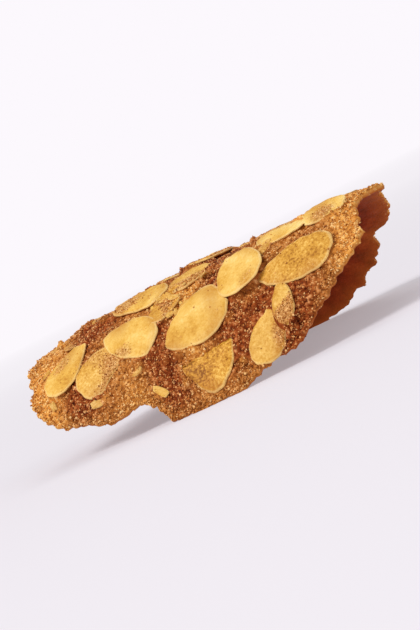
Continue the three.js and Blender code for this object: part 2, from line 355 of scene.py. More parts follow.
def face_height(u, v):
    """Height of the lumpy outer face above the sheet's middle surface."""
    return half_thickness(u, v) + waves(LUMPS, u, v) * (1 - thinning(u, v))


def standing(points):
    """Points of the bent sheet, stood up in the solid's frame, in metres."""
    c, s = math.cos(STAND_TURN), math.sin(STAND_TURN)
    x, y, z = points[..., 0], points[..., 1], points[..., 2]
    turned = np.stack((x, y * c - z * s, y * s + z * c), -1) + np.array(STAND_SHIFT)
    turned[..., 2] = np.maximum(turned[..., 2], 0)
    return turned * MM


# Flakes


class Flake:
    """An almond slice that lies in the outer face, with its own flat frame."""

    def __init__(self, u, v, length, width, turn, lift, cut, tone, coat, tilt, number):
        self.u, self.v, self.length, self.width = u, v, length, width
        self.turn, self.tone, self.coat, self.number = math.radians(turn), tone, coat, number
        self.cut, self.stub = max(cut, 0), max(-cut, 0)
        along, across, out = bent_frame(np.float64(u), np.float64(v))
        c, s = math.cos(self.turn), math.sin(self.turn)
        self.x_axis = along * c + across * s
        side = across * c - along * s
        self.y_axis = side * math.cos(tilt) + out * math.sin(tilt)
        self.z_axis = out * math.cos(tilt) - side * math.sin(tilt)
        level = self.seat_height() - FLAKE_SINK + lift + (FLAKE_THICKNESS - FLAKE_BEVEL) / 2
        self.middle = bent_point(np.float64(u), np.float64(v)) + out * level

    def seat_height(self):
        """Height at which the flat flake rests on the highest spots of the bent face beneath it."""
        reach = FLAKE_BEARING
        a = np.array((0, -reach, reach, 0, 0)) * self.length
        b = np.array((0, 0, 0, -reach, reach)) * self.width
        c, s = math.cos(self.turn), math.sin(self.turn)
        du, dv = a * c - b * s, a * s + b * c
        return np.max(face_height(self.u + du, self.v + dv) - dv**2 / (2 * BAR_RADIUS))

    def placed(self, points):
        """Points of the flake's own frame, put on the bent sheet."""
        return self.middle + points @ np.stack((self.x_axis, self.y_axis, self.z_axis))

    def spread(self, x, y):
        """(u, v) of the flat disc under points of the flake's own frame."""
        c, s = math.cos(self.turn), math.sin(self.turn)
        return self.u + x * c - y * s, self.v + x * s + y * c

    def sag(self, x, y):
        """How far the flake has followed the bend of the sheet."""
        across = x * math.sin(self.turn) + y * math.cos(self.turn)
        return FLAKE_SAG * across**2 / (2 * BAR_RADIUS)

    def reach(self, x, y):
        """0 at the flake's middle, 1 on its outline, more outside it."""
        s = 2 * x / self.length
        w = 2 * np.abs(y) / (self.width * np.maximum(1 - FLAKE_TAPER * s, FLAKE_TIP))
        round_part = np.hypot(s, w)
        if self.cut > 0:
            round_part = np.maximum(round_part, 1 + (x - self.length * (0.5 - self.cut)) / self.width * 2)
        if self.stub > 0:
            round_part = np.maximum(round_part, 1 - (x + self.length * (0.5 - self.stub)) / self.width * 2)
        return round_part

    def under(self, points, out):
        """Height of the flake's underside above points of the sheet, and its reach and angle there."""
        bottom = self.middle - self.z_axis * FLAKE_THICKNESS / 2
        height = ((bottom - points) @ self.z_axis) / np.maximum(out @ self.z_axis, FLAKE_STEEPEST)
        spot = points + out * height[:, None] - bottom
        x, y = spot @ self.x_axis, spot @ self.y_axis
        return height - self.sag(x, y), self.reach(x, y), np.arctan2(y, x)


def all_flakes():
    """The placed flakes of the front half, then those that a seeded rule spreads over the back half."""
    flakes = []

    def tilt(n):
        return FLAKE_TILT * (2 * chance(n) - 1)

    for i, row in enumerate(FRONT_FLAKES):
        flakes.append(Flake(*row, tilt(SEEDS["front"] + i), len(flakes)))
    for i in range(FLAKE_TRIES):
        theta = i * GOLDEN_ANGLE + chance(SEEDS["angle"] + i)
        r = math.sqrt((i + 0.5) / FLAKE_TRIES) * (rim_radius(theta) - FLAKE_MARGIN)
        u, v = r * math.cos(theta), r * math.sin(theta)
        crowded = any(math.hypot(f.u - u, f.v - v) < FLAKE_CLEARANCE for f in flakes)
        if crowded or v < FLAKE_FROM:
            continue
        length = between(FLAKE_LENGTHS, chance(SEEDS["length"] + i))
        width = length * between(FLAKE_SLENDERNESS, chance(SEEDS["width"] + i))
        turn = 360 * chance(SEEDS["turn"] + i)
        lift = FLAKE_LIFT * chance(SEEDS["lift"] + i)
        cut = FLAKE_BREAK if chance(SEEDS["cut"] + i) < FLAKE_BROKEN_SHARE else 0
        number = len(flakes)
        tone = chance(number + LOOK_SEEDS["tone"])
        coat = BACK_COAT * chance(number + LOOK_SEEDS["coat"])
        form = (u, v, length, width, turn, lift, cut)
        flakes.append(Flake(*form, tone, coat, tilt(SEEDS["tilt"] + i), number))
    return flakes


FLAKES = all_flakes()


# Crust


def grain(u, v):
    """Height of the crust's grains at (u, v): domes around jittered cell middles."""
    i0, j0 = np.floor(u / GRAIN_CELL), np.floor(v / GRAIN_CELL)
    inset = (1 - GRAIN_JITTER) / 2
    best = np.zeros_like(u)
    for di in (-1, 0, 1):
        for dj in (-1, 0, 1):
            i, j = i0 + di, j0 + dj
            key = i * 57.0 + j * 1013.0
            cu = (i + inset + GRAIN_JITTER * chance(key + 0.11)) * GRAIN_CELL
            cv = (j + inset + GRAIN_JITTER * chance(key + 0.37)) * GRAIN_CELL
            radius = between(GRAIN_RADII, chance(key + 0.53))
            height = between(GRAIN_HEIGHTS, chance(key + 0.71) ** 1.5)
            near = 1 - ((u - cu) ** 2 + (v - cv) ** 2) / radius**2
            best = np.maximum(best, height * np.maximum(near, 0) ** 0.75)
    return best


def crumbs(u, v):
    """Height of the crumbs that are baked to the crust at (u, v)."""
    height = np.zeros_like(u)
    for i in range(CRUMBS):
        theta = i * GOLDEN_ANGLE
        r = math.sqrt((i + chance(i + 0.2)) / CRUMBS) * CRUMB_REACH * rim_radius(theta)
        radius = between(CRUMB_RADII, chance(i + 0.4))
        away = np.hypot(u - r * math.cos(theta), v - r * math.sin(theta)) / radius
        top = between(CRUMB_HEIGHTS, chance(i + 0.6))
        height = np.maximum(height, top * np.maximum(1 - away**2, 0))
    return height


def crust_height(u, v):
    """Height of the finished crust above the sheet, its relief from 0 to 1 and how much flake covers it."""
    points = bent_point(u, v)
    out = bent_frame(u, v)[2]
    base = face_height(u, v)
    cover = np.zeros_like(u)
    for flake in FLAKES:
        near = np.hypot(u - flake.u, v - flake.v) < BANK["search"] * flake.length
        if not near.any():
            continue
        under, reach, angle = flake.under(points[near], out[near])
        side = -np.sin(angle + BURIED["turn"] * flake.number)
        buried = smooth_step(BURIED["low"], BURIED["high"], side)
        swell = BANK["start"] + BANK["sway"] * np.sin(angle + flake.number) + BANK["swell"] * buried
        hold = smooth_step(swell, swell - BANK["slope"], reach)
        over = FLAKE_BURIAL * buried * smooth_step(BURIED["inner"], BURIED["outer"], reach)
        seat = under + BANK["overlap"] + over
        raised = np.maximum(base[near], np.minimum(seat, base[near] + BANK["highest"]))
        base[near] += (raised - base[near]) * hold
        edge = COVER["edge"] - COVER["buried"] * buried
        cover[near] = np.maximum(cover[near], smooth_step(edge, edge - COVER["slope"], reach))
    rough = grain(u, v)
    clump = waves(CLUMPS, u, v)
    bare = 1 - COVER["smoothing"] * cover
    height = base + (rough + clump + crumbs(u, v)) * bare - GRAIN_SINK
    relief = np.clip(rough / GRAIN_HEIGHTS[1] + 0.8 * clump, 0, 1)
    return height, relief, cover


def near_spots(spots, u, v):
    """Up to 1 around each of some spots of the outer face."""
    return sum(np.exp(-((u - a) ** 2 + (v - b) ** 2) / SPOT_SPREAD**2) for a, b in spots)


def golden_share(u, v):
    """How golden the crust is: 0 for red-brown crust, 1 for golden crust, which the rim and the ends have,
    and painted shade makes it redder and darker round the shaded spots.
    """
    share = np.hypot(u, v) / rim_radius(np.arctan2(v, u))
    ends = GOLDEN["ends"] * smooth_step(*GOLDEN_ENDS, np.abs(u) / RIDGE_REACH)
    light = GOLDEN["light"] * near_spots(LIGHT_SPOTS, u, v)
    # Painted shade: the crust turns redder and darker round the shaded spots low on the front face, towards
    # its right end
    dark = GOLDEN["dark"] * near_spots(PAINTED_SHADE_SPOTS, u, v)
    brown = waves(BROWNING, u, v) + GOLDEN["crumbs"] * crumbs(u, v)
    rim = GOLDEN["rim"] * smooth_step(*GOLDEN_RIM, share)
    return np.clip(GOLDEN["base"] + brown + ends + (light - dark) + rim, 0, 1)


def disc_lattice(ring_count):
    """(u, v, share of the way to the rim) of rings of more and more points, and the triangles between."""
    theta, share = [np.zeros(1)], [np.zeros(1)]
    triangles = []
    start = 0
    for k in range(1, ring_count + 1):
        count = RING_STEP * k
        theta.append(FULL_TURN * np.arange(count) / count)
        share.append(np.full(count, k / ring_count))
        inner_count = max(RING_STEP * (k - 1), 1)
        outer = start + inner_count
        sector = np.repeat(np.arange(RING_STEP), k)
        step = np.tile(np.arange(k), RING_STEP)
        near = start + (sector * (k - 1) + step) % inner_count
        a = outer + (sector * k + step) % count
        b = outer + (sector * k + step + 1) % count
        triangles.append(np.stack((near, a, b), -1))
        if k > 1:
            sector = np.repeat(np.arange(RING_STEP), k - 1)
            step = np.tile(np.arange(k - 1), RING_STEP)
            near = start + (sector * (k - 1) + step) % inner_count
            far = start + (sector * (k - 1) + step + 1) % inner_count
            a = outer + (sector * k + step + 1) % count
            triangles.append(np.stack((near, a, far), -1))
        start = outer
    theta, share = np.concatenate(theta), np.concatenate(share)
    r = share * rim_radius(theta) + share**RIM_FOCUS * crumble(theta)
    return r * np.cos(theta), r * np.sin(theta), share, np.concatenate(triangles)


def zip_rings(inner, outer):
    """Triangles between two closed rings of indices that start at the same angle."""
    triangles = []
    i = j = 0
    n, m = len(inner), len(outer)
    while i < n or j < m:
        a, b = inner[i % n], outer[j % m]
        if j < m and (i >= n or (j + 1) * n <= (i + 1) * m):
            triangles.append((a, b, outer[(j + 1) % m]))
            j += 1
        else:
            triangles.append((a, b, inner[(i + 1) % n]))
            i += 1
    return np.array(triangles)


def crust_parts():
    """Points, triangles and painted values of the whole crust as one closed skin."""
    u, v, share, outer_triangles = disc_lattice(OUTER_RINGS)
    height, relief, _ = crust_height(u, v)
    rim_share = smooth_step(RIM_EASE["start"], 1, share)
    height = height * (1 - RIM_EASE["share"] * rim_share)
    outer = bent_point(u, v) + bent_frame(u, v)[2] * height[:, None]

    iu, iv, inner_share, inner_triangles = disc_lattice(INNER_RINGS)
    pits = waves(PITS, iu, iv)
    depth = half_thickness(iu, iv) + pits * (1 - inner_share**PIT_FADING)
    inner = bent_point(iu, iv) - bent_frame(iu, iv)[2] * depth[:, None]

    rim_count = RING_STEP * OUTER_RINGS
    edge_u, edge_v = u[-rim_count:], v[-rim_count:]
    grow = 1 + RIM_BULGE / np.hypot(edge_u, edge_v)
    rim = bent_point(edge_u * grow, edge_v * grow)

    inner_start = len(outer)
    rim_start = inner_start + len(inner)
    outer_edge = np.arange(inner_start - rim_count, inner_start)
    inner_edge = np.arange(rim_start - RING_STEP * INNER_RINGS, rim_start)
    rim_edge = np.arange(rim_start, rim_start + rim_count)
    outside = np.concatenate((outer_triangles, zip_rings(outer_edge, rim_edge)))
    inside = np.concatenate((inner_triangles[:, ::-1] + inner_start, zip_rings(rim_edge, inner_edge)))
    reach = 1 + MAP_RIM / np.hypot(edge_u, edge_v)
    flat_u, flat_v = np.concatenate((u, iu, edge_u * reach)), np.concatenate((v, iv, edge_v * reach))
    flat = np.stack((flat_u, flat_v), -1)
    places = [
        (middle + flat * radius / MAP_REACH)[faces]
        for (middle, radius), faces in ((OUTER_PLACE, outside), (INNER_PLACE, inside))
    ]
    pit_relief = np.clip(PIT_PAINT["middle"] + PIT_PAINT["gain"] * pits, 0, 1)
    rim_relief = np.full(rim_count, RIM_PAINT["relief"])
    rim_inside = np.full(rim_count, RIM_PAINT["inside"])
    # The rim values set how far the painted orange glow of light through the thin rim reaches on the
    # underside and the rim strip
    outer_rim, inner_rim = share ** RIM_PAINT["outer_power"], inner_share ** RIM_PAINT["inner_power"]
    painted = dict(
        relief=np.concatenate((relief, pit_relief, rim_relief)),
        inside=np.concatenate((np.zeros(len(outer)), np.ones(len(inner)), rim_inside)),
        golden=np.concatenate((golden_share(u, v), golden_share(iu, iv), golden_share(edge_u, edge_v))),
        rim=np.concatenate((outer_rim, inner_rim, np.ones(rim_count))),
    )
    points = standing(np.concatenate((outer, inner, rim)))
    return points, np.concatenate((outside, inside)), painted, np.concatenate(places)


# Almonds


def slice_outline(t, length, width, cut, stub, number):
    """Outline of an almond slice, pointed at +x, with an uneven edge, and torn where an end is cut off."""
    ragged = 1.0
    for k, height in SLICE_WAVES:
        ragged = ragged + height * np.sin(k * t + FULL_TURN * chance(number + 0.05 * k))
    chipped = (t - FULL_TURN * chance(number + 0.33) + math.pi) % FULL_TURN - math.pi
    spared = SLICE_CHIP["spared"]
    chip = SLICE_CHIP["depth"] * max(chance(number + 0.44) - spared, 0) / (1 - spared)
    ragged = ragged - chip * np.exp(-((chipped / SLICE_CHIP["width"]) ** 2))
    x = length / 2 * np.cos(t) * ragged
    y = width / 2 * np.sin(t) * (1 - FLAKE_TAPER * np.cos(t)) * ragged
    torn = between(SLICE_SLANT, chance(number + 0.9)) * y if cut and stub else 0 * y
    for i, (height, pace) in enumerate(SLICE_TEARS):
        torn = torn + height * np.sin(pace * y + (i + 1) * number)
    if cut > 0:
        x = np.minimum(x, length * (0.5 - cut) + torn)
    if stub > 0:
        x = np.maximum(x, length * (stub - 0.5) - torn)
    return x, y


def slice_bow(x, y, length, width, number):
    """Height of the middle of a slice that has curled, twisted and rippled a little in the oven."""
    s, w = 2 * x / length, 2 * y / width
    curl = between(SLICE_CURL, chance(number + 0.6))
    twist = between(SLICE_TWIST, chance(number + 0.8))
    along = np.sin(SLICE_RIPPLE["along"] * x + 3 * number)
    across = np.cos(SLICE_RIPPLE["across"] * y + number)
    return curl * s**2 + twist * s * w + SLICE_RIPPLE["height"] * along * across


def slice_crown(share, thickness):
    """Half of a slice's thickness, which rounds off to nothing at its edge."""
    return thickness / 2 * np.sqrt(np.maximum(1 - share**SLICE_ROUNDING, 0))


def slice_parts(length, width, cut, stub, thickness, number, sides, rows):
    """Points, triangles and edge values of one slice in its own frame. Its top's triangles come first."""
    t = FULL_TURN * (np.arange(sides) + 0.5) / sides
    x, y = slice_outline(t, length, width, cut, stub, number)
    shares = (1 - (1 - np.arange(1, rows + 1) / rows) ** SLICE_CROWDING).tolist()
    layers = [(share, 1) for share in shares] + [(share, -1) for share in shares[-2::-1]]
    points = [np.array(((0, 0, thickness / 2),))]
    edges = [np.zeros(1)]
    for share, side in layers:
        px, py = x * share, y * share
        z = slice_bow(px, py, length, width, number) + side * slice_crown(share, thickness)
        points.append(np.stack((px, py, z), -1))
        edges.append(np.full(sides, share))
    points.append(np.array(((0, 0, -thickness / 2),)))
    edges.append(np.zeros(1))
    rings = [1 + k * sides + np.arange(sides) for k in range(len(layers))]
    last = 1 + len(layers) * sides
    triangles = [np.stack((np.zeros(sides, int), rings[0], np.roll(rings[0], -1)), -1)]
    triangles += [zip_rings(a, b) for a, b in zip(rings, rings[1:])]
    triangles.append(np.stack((np.full(sides, last), np.roll(rings[-1], -1), rings[-1]), -1))
    return np.concatenate(points), np.concatenate(triangles), np.concatenate(edges)


def slice_places(p, triangles, length, index, count):
    """Places of a slice on the bake map: its top in a cell of a grid, its underside in a small cell."""
    x, y = p[:, 0] / length, p[:, 1] / length
    columns = math.ceil(math.sqrt(count))
    rows = math.ceil(count / columns)
    column, row = index % columns, index // columns
    fill = MAP_FILL["top"]
    top_x = (column + 0.5 + fill * x) / columns
    top_y = (row + 0.5 + fill * y) * TOPS_SHARE / rows
    low_x = (index + 0.5 + MAP_FILL["low_length"] * x) / count
    low_y = (1 + TOPS_SHARE) / 2 + MAP_FILL["low_width"] * y * (1 - TOPS_SHARE)
    top, low = np.stack((top_x, top_y), -1), np.stack((low_x, low_y), -1)
    tops = np.arange(len(triangles)) < len(triangles) // 2
    return np.where(tops[:, None, None], top[triangles], low[triangles])


def joined(parts):
    """One set of points, triangles, painted values and map places from many."""
    starts = np.cumsum([0] + [len(part[0]) for part in parts])
    points, triangles, painted, places = zip(*parts)
    return (
        np.concatenate(points),
        np.concatenate([t + start for t, start in zip(triangles, starts)]),
        {name: np.concatenate([values[name] for values in painted]) for name in painted[0]},
        np.concatenate(places),
    )


def coating(flake, u, v, share):
    """How thickly grains of the crust cover a flake, least at its very edge."""
    thick = smooth_step(COAT["low"], COAT["high"], flake.coat + waves(COATING, u, v))
    return thick * (1 - COAT["edge"] * smooth_step(COAT["inner"], COAT["outer"], share))


def flake_parts(flake):
    """Points, triangles, painted values and map places of one flake."""
    form = (flake.length, flake.width, flake.cut, flake.stub, FLAKE_BODY, flake.number)
    p, t, edge = slice_parts(*form, FLAKE_SIDES, FLAKE_ROWS)
    u, v = flake.spread(p[:, 0], p[:, 1])
    sagging = p - flake.sag(p[:, 0], p[:, 1])[:, None] * np.array((0, 0, 1))
    toasted = waves(TOASTING, u, v) + TOAST["edge"] * edge**2
    values = dict(
        edge=edge,
        tone=np.full(len(p), flake.tone),
        coat=coating(flake, u, v, edge),
        toast=smooth_step(TOAST["low"], TOAST["high"], toasted),
    )
    places = slice_places(p, t, flake.length, flake.number, len(FLAKES))
    return standing(flake.placed(sagging)), t, values, places


def splinter_parts(rng):
    """Broken almond splinters lying on the crust, some of them together beside a broken flake."""
    parts = []
    while len(parts) < SPLINTERS + BITS:
        together = len(parts) < BITS
        theta = FULL_TURN * rng.random()
        r = math.sqrt(rng.random()) * (rim_radius(theta) - SPLINTER_MARGIN)
        u, v = np.array([r * math.cos(theta)]), np.array([r * math.sin(theta)])
        if together:
            u, v = (spot + rng.uniform(-BITS_SPREAD, BITS_SPREAD, 1) for spot in BITS_SPOT)
        length, slimness = rng.uniform(*SPLINTER_LENGTHS), rng.uniform(*SPLINTER_SLIMNESS)
        turn = rng.uniform(0, FULL_TURN)
        tilt, lean = rng.normal(0, SPLINTER_TILT), rng.normal(0, SPLINTER_LEAN)
        height, _, cover = crust_height(u, v)
        if cover[0] > 0.2 and not together:
            continue
        number = SPLINTER_NUMBER + len(parts)
        form = (length, length * slimness, *SPLINTER_CUTS, SPLINTER_BODY, number)
        p, t, edge = slice_parts(*form, SPLINTER_SIDES, SPLINTER_ROWS)
        along, across, out = (a[0] for a in bent_frame(u, v))
        x_axis = unit(along * math.cos(turn) + across * math.sin(turn) + out * tilt)
        side = np.cross(out, x_axis)
        z_axis = unit(np.cross(x_axis, side) + side * lean)
        axes = np.stack((x_axis, np.cross(z_axis, x_axis), z_axis))
        seat = bent_point(u, v)[0] + out * (height[0] + (BITS_SEAT if together else SPLINTER_SEAT))
        values = dict(
            edge=edge,
            tone=np.full(len(p), rng.random()),
            coat=np.full(len(p), rng.uniform(0, BITS_COAT if together else SPLINTER_COAT)),
            toast=np.full(len(p), rng.uniform(0, SPLINTER_TOAST)),
        )
        places = slice_places(p, t, length, len(parts), SPLINTERS + BITS)
        parts.append((standing(seat + p @ axes), t, values, places))
    return parts


# Crystals of the crust


def octahedron():
    points = np.concatenate((np.eye(3), -np.eye(3)))
    faces = [(0, 1, 2), (1, 3, 2), (3, 4, 2), (4, 0, 2), (1, 0, 5), (3, 1, 5), (4, 3, 5), (0, 4, 5)]
    return points, np.array(faces)


def crust_crystals(rng):
    """Seats, golden shares and size factors of the crystals on the bare crust and along the rim."""
    tries = CRYSTAL_TRIES * CRYSTALS
    theta = rng.uniform(0, FULL_TURN, tries)
    r = np.sqrt(rng.random(tries)) * (rim_radius(theta) + RIM_CRYSTAL_PLACES[1])
    u, v = r * np.cos(theta), r * np.sin(theta)
    height, _, cover = crust_height(u, v)
    kept = np.flatnonzero(rng.random(tries) > cover * CRYSTAL_CLEARING)[:CRYSTALS]
    edge_theta = rng.uniform(0, FULL_TURN, RIM_CRYSTALS)
    edge_r = rim_radius(edge_theta) + crumble(edge_theta) + rng.uniform(*RIM_CRYSTAL_PLACES, RIM_CRYSTALS)
    u = np.concatenate((u[kept], edge_r * np.cos(edge_theta)))
    v = np.concatenate((v[kept], edge_r * np.sin(edge_theta)))
    height = np.concatenate((height[kept], rng.uniform(*RIM_CRYSTAL_HEIGHTS, RIM_CRYSTALS)))
    seats = bent_point(u, v) + bent_frame(u, v)[2] * height[:, None]
    # The golden shares carry the crust's painted shade round the shaded spots into the crystals' colour
    return seats, golden_share(u, v), np.ones(len(u))


def flake_crystals(rng):
    """The same for the grains that lie on the flakes, most where a flake is coated."""
    seats, golden = [], []
    for flake in FLAKES:
        t = rng.uniform(0, FULL_TURN, FLAKE_CRYSTALS)
        share = np.sqrt(rng.random(FLAKE_CRYSTALS)) * FLAKE_CRYSTAL_REACH
        x, y = slice_outline(t, flake.length, flake.width, flake.cut, flake.stub, flake.number)
        x, y = x * share, y * share
        u, v = flake.spread(x, y)
        coated = STRAY_SHARE + (1 - STRAY_SHARE) * coating(flake, u, v, share)
        kept = rng.random(FLAKE_CRYSTALS) < coated
        z = slice_bow(x, y, flake.length, flake.width, flake.number) + slice_crown(share, FLAKE_BODY)
        z = z - flake.sag(x, y)
        seats.append(flake.placed(np.stack((x, y, z), -1)[kept]))
        golden.append(np.full(kept.sum(), between(FLAKE_CRYSTAL_GOLDEN, flake.tone)))
    golden = np.concatenate(golden)
    return np.concatenate(seats), golden, np.full(len(golden), FLAKE_CRYSTAL_SIZE)


def crystal_parts(rng, seats, golden, factor):
    """Crystals at their seats as one set of small turned and stretched octahedra."""
    body, faces = octahedron()
    count = len(seats)
    size = factor * between(CRYSTAL_RADII, rng.random(count) ** 2)
    turns = np.linalg.qr(rng.normal(size=(count, 3, 3)))[0]
    shapes = size[:, None, None] * rng.uniform(*CRYSTAL_STRETCH, (count, 1, 3)) * body
    points = standing((seats[:, None] + shapes @ turns).reshape(-1, 3))
    triangles = faces + np.arange(count)[:, None, None] * len(body)
    mirrored = np.linalg.det(turns) < 0
    triangles[mirrored] = triangles[mirrored][..., ::-1]
    tone = rng.random(count)
    values = dict(tone=np.repeat(tone, len(body)), golden=np.repeat(golden, len(body)))
    dot = np.array(((-1, -1), (1, -1), (0, 1))) * MAP_DOT
    places = between(MAP_MARGIN, np.stack((tone, golden), -1))[:, None, None] + dot
    places = np.broadcast_to(places, (count, len(faces), 3, 2))
    return points, triangles.reshape(-1, 3), values, places


# Materials


def srgb(r, g, b):
    """Linear colour for an sRGB colour from 0 to 255."""
    values = np.array((r, g, b)) / 255
    linear = np.where(values <= 0.04045, values / 12.92, ((values + 0.055) / 1.055) ** 2.4)
    return (*linear.tolist(), 1.0)


class Nodes:
    """A small builder of shader nodes for one material."""

    def __init__(self, name):
        self.material = bpy.data.materials.new(name)
        self.material.use_nodes = True
        self.tree = self.material.node_tree
        self.shader = self.tree.nodes["Principled BSDF"]

    def link(self, value, socket):
        if isinstance(value, bpy.types.NodeSocket):
            self.tree.links.new(value, socket)
        else:
            socket.default_value = value

    def node(self, kind, inputs=None, **settings):
        node = self.tree.nodes.new(kind)
        for key, value in settings.items():
            setattr(node, key, value)
        for key, value in (inputs or {}).items():
            self.link(value, node.inputs[key])
        return node

    def attribute(self, name):
        return self.node("ShaderNodeAttribute", attribute_name=name).outputs["Fac"]

    def noise(self, scale, detail=2.0, roughness=0.5):
        place = self.node("ShaderNodeTexCoord").outputs["Object"]
        inputs = {"Vector": place, "Scale": scale, "Detail": detail, "Roughness": roughness}
        return self.node("ShaderNodeTexNoise", inputs).outputs["Fac"]

    def cells(self, scale):
        place = self.node("ShaderNodeTexCoord").outputs["Object"]
        return self.node("ShaderNodeTexVoronoi", {"Vector": place, "Scale": scale}).outputs

    def ramp(self, value, *stops):
        node = self.node("ShaderNodeValToRGB", {"Fac": value})
        elements = node.color_ramp.elements
        while len(elements) < len(stops):
            elements.new(0.5)
        for element, (place, colour) in zip(elements, stops):
            element.position = place
            element.color = colour if not np.isscalar(colour) else (colour, colour, colour, 1)
        return node.outputs["Color"]

    def mix(self, factor, a, b, blend="MIX"):
        node = self.node("ShaderNodeMix", data_type="RGBA", blend_type=blend)
        self.link(factor, node.inputs["Factor"])
        self.link(a, node.inputs["A"])
        self.link(b, node.inputs["B"])
        return next(o for o in node.outputs if o.type == "RGBA")

    def math(self, operation, a, b, clamp=False):
        node = self.node("ShaderNodeMath", operation=operation, use_clamp=clamp)
        self.link(a, node.inputs[0])
        self.link(b, node.inputs[1])
        return node.outputs[0]

    def bump(self, height, strength, distance):
        inputs = {"Height": height, "Strength": strength, "Distance": distance}
        self.link(self.node("ShaderNodeBump", inputs).outputs["Normal"], self.shader.inputs["Normal"])

    def set(self, **values):
        for key, value in values.items():
            self.link(value, self.shader.inputs[key.replace("_", " ")])


def crust_material():
    n = Nodes("baked_crust")
    relief, inside, rim = n.attribute("relief"), n.attribute("inside"), n.attribute("rim")
    specks = n.noise(1500, 2, 0.6)
    grains = n.cells(1300)
    tones = n.math("ADD", n.math("MULTIPLY", specks, 0.25), n.math("MULTIPLY", grains["Color"], 0.34))
    # The colour level follows the grains' relief: painted shade darkens the recesses between grains and
    # painted highlight lightens their tips, while the specks and cells add tone that differs at random
    level = n.math("ADD", n.math("MULTIPLY", relief, 0.6), n.math("SUBTRACT", tones, 0.04))
    brown = n.ramp(
        level,
        (0.14, srgb(60, 16, 4)),
        (0.38, srgb(124, 50, 16)),
        (0.64, srgb(174, 90, 40)),
        (0.92, srgb(230, 162, 104)),
    )
    golden = n.ramp(
        level,
        (0.12, srgb(140, 70, 18)),
        (0.38, srgb(214, 139, 58)),
        (0.64, srgb(238, 172, 86)),
        (0.92, srgb(254, 214, 140)),
    )
    # The golden share holds the bake's browning and the painted shade round the shaded spots
    outer = n.mix(n.attribute("golden"), brown, golden)
    mottle = n.noise(190, 4, 0.65)
    under = n.ramp(
        mottle,
        (0.3, srgb(92, 22, 8)),
        (0.52, srgb(142, 44, 18)),
        (0.75, srgb(186, 82, 38)),
    )
    # Painted light: the underside and the rim strip turn orange towards the thin rim, as if light shone
    # through it
    under = n.mix(n.math("MULTIPLY", rim, 0.72), under, srgb(196, 104, 38))
    n.set(Base_Color=n.mix(inside, outer, under))
    n.set(Roughness=n.ramp(level, (0.2, 0.75), (0.9, 0.5)), Specular_IOR_Level=0.05)
    n.bump(n.math("SUBTRACT", n.noise(2600, 3, 0.7), grains["Distance"]), 0.5, 0.0003)
    return n.material


def almond_material():
    n = Nodes("toasted_almond")
    edge, tone, coat = n.attribute("edge"), n.attribute("tone"), n.attribute("coat")
    specks = n.noise(1700, 2, 0.65)
    patches = n.noise(170, 3, 0.6)
    freckled = n.math("MULTIPLY", n.math("SUBTRACT", specks, 0.5), n.ramp(tone, (0.1, 0.7), (0.7, 0.22)))
    level = n.math("ADD", freckled, n.math("ADD", n.math("MULTIPLY", patches, 0.5), 0.24))
    dull = n.ramp(
        level,
        (0.34, srgb(136, 78, 10)),
        (0.44, srgb(192, 126, 28)),
        (0.54, srgb(220, 156, 46)),
        (0.66, srgb(246, 194, 86)),
    )
    pale = n.ramp(
        level,
        (0.34, srgb(206, 140, 40)),
        (0.44, srgb(236, 184, 80)),
        (0.54, srgb(248, 208, 114)),
        (0.68, srgb(255, 234, 168)),
    )
    face = n.mix(tone, dull, pale)
    face = n.mix(n.math("MULTIPLY", n.attribute("toast"), 0.5), face, srgb(180, 108, 30))
    # Painted highlight: a pale band along each slice's edge, where the cut edge catches the light
    edge_highlight = n.ramp(n.math("ADD", edge, n.math("MULTIPLY", patches, 0.08)), (0.96, 0.0), (1.03, 1.0))
    face = n.mix(n.math("MULTIPLY", edge_highlight, 0.42), face, srgb(250, 218, 148))
    sugared = n.ramp(
        specks,
        (0.34, srgb(136, 74, 28)),
        (0.5, srgb(192, 126, 62)),
        (0.66, srgb(238, 188, 122)),
    )
    n.set(Base_Color=n.mix(n.math("MULTIPLY", coat, 0.75), face, sugared))
    n.set(Roughness=n.ramp(specks, (0.3, 0.56), (0.7, 0.4)), Specular_IOR_Level=0.16)
    n.bump(n.math("ADD", specks, n.math("MULTIPLY", n.noise(520, 3, 0.6), 1.4)), 0.4, 0.0003)
    return n.material


def crystal_material():
    n = Nodes("crust_crystals")
    tone, golden = n.attribute("tone"), n.attribute("golden")
    dark = n.ramp(
        tone,
        (0.0, srgb(96, 34, 8)),
        (0.4, srgb(162, 84, 32)),
        (0.7, srgb(212, 138, 72)),
        (1.0, srgb(246, 194, 128)),
    )
    light = n.ramp(
        tone,
        (0.0, srgb(162, 92, 32)),
        (0.4, srgb(218, 149, 68)),
        (0.7, srgb(242, 186, 102)),
        (1.0, srgb(255, 218, 148)),
    )
    n.set(Base_Color=n.mix(golden, dark, light))
    n.set(Roughness=n.ramp(tone, (0.0, 0.55), (1.0, 0.34)), Specular_IOR_Level=0.16)
    n.bump(n.noise(4000, 2, 0.5), 0.15, 0.0002)
    return n.material


def floor_material(backdrop):
    """Pale matt floor that runs out into the colour of the backdrop."""
    n = Nodes("pale_floor")
    cloudy = n.math("MULTIPLY", n.noise(3, 2, 0.5), 0.25)
    n.set(Base_Color=n.mix(cloudy, srgb(226, 221, 227), srgb(221, 217, 223)))
    n.set(Roughness=0.75)
    place = n.node("ShaderNodeTexCoord").outputs["Object"]
    away = n.node("ShaderNodeVectorMath", operation="LENGTH", inputs={0: place}).outputs["Value"]
    far = n.ramp(n.math("DIVIDE", away, FLOOR_RADIUS), (0.02, 0.32), (0.1, 0.5), (0.25, 0.8), (0.6, 1.0))
    glow = n.node("ShaderNodeEmission", {"Color": backdrop, "Strength": 1.0})
    blend = n.node("ShaderNodeMixShader", {0: far, 1: n.shader.outputs[0], 2: glow.outputs[0]})
    n.link(blend.outputs[0], n.tree.nodes["Material Output"].inputs["Surface"])
    return n.material


# Pieces


